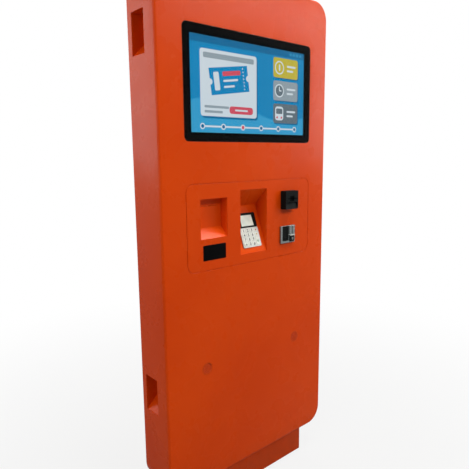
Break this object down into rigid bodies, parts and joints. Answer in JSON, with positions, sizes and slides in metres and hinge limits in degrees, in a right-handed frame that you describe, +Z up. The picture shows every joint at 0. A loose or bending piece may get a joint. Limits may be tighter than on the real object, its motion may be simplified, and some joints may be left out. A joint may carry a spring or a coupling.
{
  "type": "ticket vending machine",
  "caption": "Slim floor-standing ticket vending machine with a touch screen above a device panel for tickets, card, keypad and coins, on a plinth, with a rear service door.",
  "frame": {"origin": "centre of the floor anchor pattern on the underside of the base plate, on the floor", "axes": "+X to the right as the user sees the machine, the front faces -Y, +Z up"},
  "size_m": [0.7, 0.194, 1.66],
  "materials": {
    "orange_powder_coat": "semi-gloss orange powder coat on folded steel sheet",
    "zinc_steel": "zinc plated steel",
    "cover_glass": "clear hardened cover glass",
    "black_plastic": "moulded black ABS, fine texture",
    "display_face": "lit display face",
    "dark_glass": "dark tinted glass",
    "keypad_white": "moulded pale grey keypad plastic",
    "small_display": "pale reflective display",
    "brushed_plate": "brushed stainless steel",
    "black_rubber": "ground rubber roller",
    "paper": "white thermal paper",
    "black_aluminium": "black anodised aluminium casing",
    "bare_aluminium": "bare aluminium casing",
    "lock_chrome": "nickel plated lock"
  },
  "bodies": {
    "cabinet": {"cabinet_shell": "orange_powder_coat", "rear_wall": "orange_powder_coat", "plinth": "orange_powder_coat", "base_plate": "zinc_steel", "plinth_bolts": "zinc_steel", "left_upper_pocket": "orange_powder_coat", "left_lower_pocket": "orange_powder_coat", "right_upper_pocket": "orange_powder_coat", "right_lower_pocket": "orange_powder_coat", "touch_glass": "cover_glass", "monitor_frame": "black_plastic", "lcd_panel": "display_face", "monitor_housing": "zinc_steel", "device_panel": "orange_powder_coat", "panel_frame": "orange_powder_coat", "panel_fasteners": "zinc_steel", "ticket_niche": "orange_powder_coat", "terminal_niche": "orange_powder_coat", "scanner_window": "dark_glass", "scanner_module": "black_plastic", "terminal_body": "black_plastic", "terminal_keypad_plate": "keypad_white", "terminal_display": "small_display", "card_reader_bezel": "black_plastic", "card_reader_module": "black_plastic", "coin_faceplate": "brushed_plate", "coin_validator": "black_plastic", "coin_box": "zinc_steel", "ticket_printer": "black_plastic", "control_pc": "black_aluminium", "power_supply": "bare_aluminium", "speakers": "black_plastic", "cable_gland": "black_plastic", "hinge_posts": "zinc_steel"},
    "door": {"rear_door": "orange_powder_coat", "hinge_leaves": "zinc_steel", "lock_housings": "lock_chrome", "fan_frame": "black_plastic"},
    "upper_lock": {"upper_lock_cam": "lock_chrome"},
    "lower_lock": {"lower_lock_cam": "lock_chrome"},
    "fan": {"fan_rotor": "black_plastic"},
    "return_flap": {"coin_return_flap": "black_plastic"},
    "return_button": {"coin_return_button": "black_plastic"},
    "platen": {"platen_roller": "black_rubber"},
    "roll": {"paper_roll": "paper"},
    "key_1": {"key_1": "keypad_white"},
    "key_2": {"key_2": "keypad_white"},
    "key_3": {"key_3": "keypad_white"},
    "key_4": {"key_4": "keypad_white"},
    "key_5": {"key_5": "keypad_white"},
    "key_6": {"key_6": "keypad_white"},
    "key_7": {"key_7": "keypad_white"},
    "key_8": {"key_8": "keypad_white"},
    "key_9": {"key_9": "keypad_white"},
    "key_star": {"key_star": "keypad_white"},
    "key_0": {"key_0": "keypad_white"},
    "key_hash": {"key_hash": "keypad_white"},
    "key_cancel": {"key_cancel": "keypad_white"},
    "key_clear": {"key_clear": "keypad_white"},
    "key_enter": {"key_enter": "keypad_white"}
  },
  "joints": [
    {"name": "door_hinge", "type": "hinge", "parent": "cabinet", "child": "door", "pos_m": [0.2765, 0.0475, 0.885], "axis": [0, 0, -1], "range_deg": [0, 110]},
    {"name": "upper_lock_turn", "type": "hinge", "parent": "door", "child": "upper_lock", "pos_m": [-0.2395, 0.045, 1.2], "axis": [0, -1, 0], "range_deg": [0, 90]},
    {"name": "lower_lock_turn", "type": "hinge", "parent": "door", "child": "lower_lock", "pos_m": [-0.2395, 0.045, 0.57], "axis": [0, -1, 0], "range_deg": [0, 90]},
    {"name": "fan_spin", "type": "hinge", "parent": "door", "child": "fan", "pos_m": [0, 0.04, 1.195], "axis": [0, 1, 0], "continuous": true},
    {"name": "return_flap_swing", "type": "hinge", "parent": "cabinet", "child": "return_flap", "pos_m": [0.1435, -0.1034, 0.8995], "axis": [1, 0, 0], "range_deg": [0, 70]},
    {"name": "return_button_press", "type": "slide", "parent": "cabinet", "child": "return_button", "axis": [0, 1, 0], "range_m": [0, 0.004], "stiffness_N_per_m": 300},
    {"name": "paper_roll_spin", "type": "hinge", "parent": "cabinet", "child": "roll", "pos_m": [-0.163, -0.013, 0.87], "axis": [1, 0, 0], "continuous": true},
    {"name": "platen_spin", "type": "hinge", "parent": "cabinet", "child": "platen", "pos_m": [-0.163, -0.051, 0.996], "axis": [1, 0, 0], "continuous": true},
    {"name": "key_1_press", "type": "slide", "parent": "cabinet", "child": "key_1", "axis": [0, 0.942, -0.3355], "range_m": [0, 0.0012], "stiffness_N_per_m": 400},
    {"name": "key_2_press", "type": "slide", "parent": "cabinet", "child": "key_2", "axis": [0, 0.942, -0.3355], "range_m": [0, 0.0012], "stiffness_N_per_m": 400},
    {"name": "key_3_press", "type": "slide", "parent": "cabinet", "child": "key_3", "axis": [0, 0.942, -0.3355], "range_m": [0, 0.0012], "stiffness_N_per_m": 400},
    {"name": "key_4_press", "type": "slide", "parent": "cabinet", "child": "key_4", "axis": [0, 0.942, -0.3355], "range_m": [0, 0.0012], "stiffness_N_per_m": 400},
    {"name": "key_5_press", "type": "slide", "parent": "cabinet", "child": "key_5", "axis": [0, 0.942, -0.3355], "range_m": [0, 0.0012], "stiffness_N_per_m": 400},
    {"name": "key_6_press", "type": "slide", "parent": "cabinet", "child": "key_6", "axis": [0, 0.942, -0.3355], "range_m": [0, 0.0012], "stiffness_N_per_m": 400},
    {"name": "key_7_press", "type": "slide", "parent": "cabinet", "child": "key_7", "axis": [0, 0.942, -0.3355], "range_m": [0, 0.0012], "stiffness_N_per_m": 400},
    {"name": "key_8_press", "type": "slide", "parent": "cabinet", "child": "key_8", "axis": [0, 0.942, -0.3355], "range_m": [0, 0.0012], "stiffness_N_per_m": 400},
    {"name": "key_9_press", "type": "slide", "parent": "cabinet", "child": "key_9", "axis": [0, 0.942, -0.3355], "range_m": [0, 0.0012], "stiffness_N_per_m": 400},
    {"name": "key_star_press", "type": "slide", "parent": "cabinet", "child": "key_star", "axis": [0, 0.942, -0.3355], "range_m": [0, 0.0012], "stiffness_N_per_m": 400},
    {"name": "key_0_press", "type": "slide", "parent": "cabinet", "child": "key_0", "axis": [0, 0.942, -0.3355], "range_m": [0, 0.0012], "stiffness_N_per_m": 400},
    {"name": "key_hash_press", "type": "slide", "parent": "cabinet", "child": "key_hash", "axis": [0, 0.942, -0.3355], "range_m": [0, 0.0012], "stiffness_N_per_m": 400},
    {"name": "key_cancel_press", "type": "slide", "parent": "cabinet", "child": "key_cancel", "axis": [0, 0.942, -0.3355], "range_m": [0, 0.0012], "stiffness_N_per_m": 400},
    {"name": "key_clear_press", "type": "slide", "parent": "cabinet", "child": "key_clear", "axis": [0, 0.942, -0.3355], "range_m": [0, 0.0012], "stiffness_N_per_m": 400},
    {"name": "key_enter_press", "type": "slide", "parent": "cabinet", "child": "key_enter", "axis": [0, 0.942, -0.3355], "range_m": [0, 0.0012], "stiffness_N_per_m": 400}
  ],
  "couplings": [
    {"joint": "platen_spin", "follows": "paper_roll_spin", "ratio": -4.75}
  ]
}
